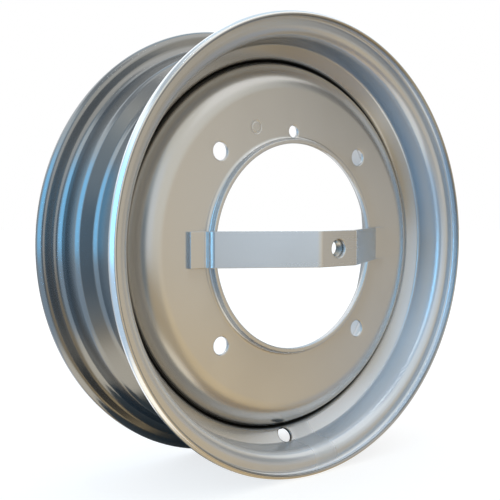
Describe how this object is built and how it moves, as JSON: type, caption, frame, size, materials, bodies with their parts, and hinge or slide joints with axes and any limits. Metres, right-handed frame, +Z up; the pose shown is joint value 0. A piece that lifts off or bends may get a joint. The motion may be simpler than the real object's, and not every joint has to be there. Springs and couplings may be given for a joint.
{
  "type": "steel wheel",
  "caption": "Pressed-steel drop-centre car wheel: rolled rim, dished disc with a wide lipped bore and bolt holes, and a bent bar across the bore that takes a hub cap screw.",
  "frame": {"origin": "centre of the wheel, on the disc's back face that meets the hub", "axes": "+Y along the axle, inboard towards the car; +Z up, through the dowel hole; +X along the bridge"},
  "size_m": [0.333, 0.1305, 0.333],
  "materials": {
    "silver_paint": "semi-gloss silver metallic paint",
    "nut_paint": "thin silver paint over steel"
  },
  "bodies": {
    "root": {"rim": "silver_paint", "wheel_disc": "silver_paint", "hub_cap_bridge": "silver_paint", "bridge_weld_nut": "nut_paint", "disc_weld_beads": "silver_paint"}
  },
  "joints": []
}
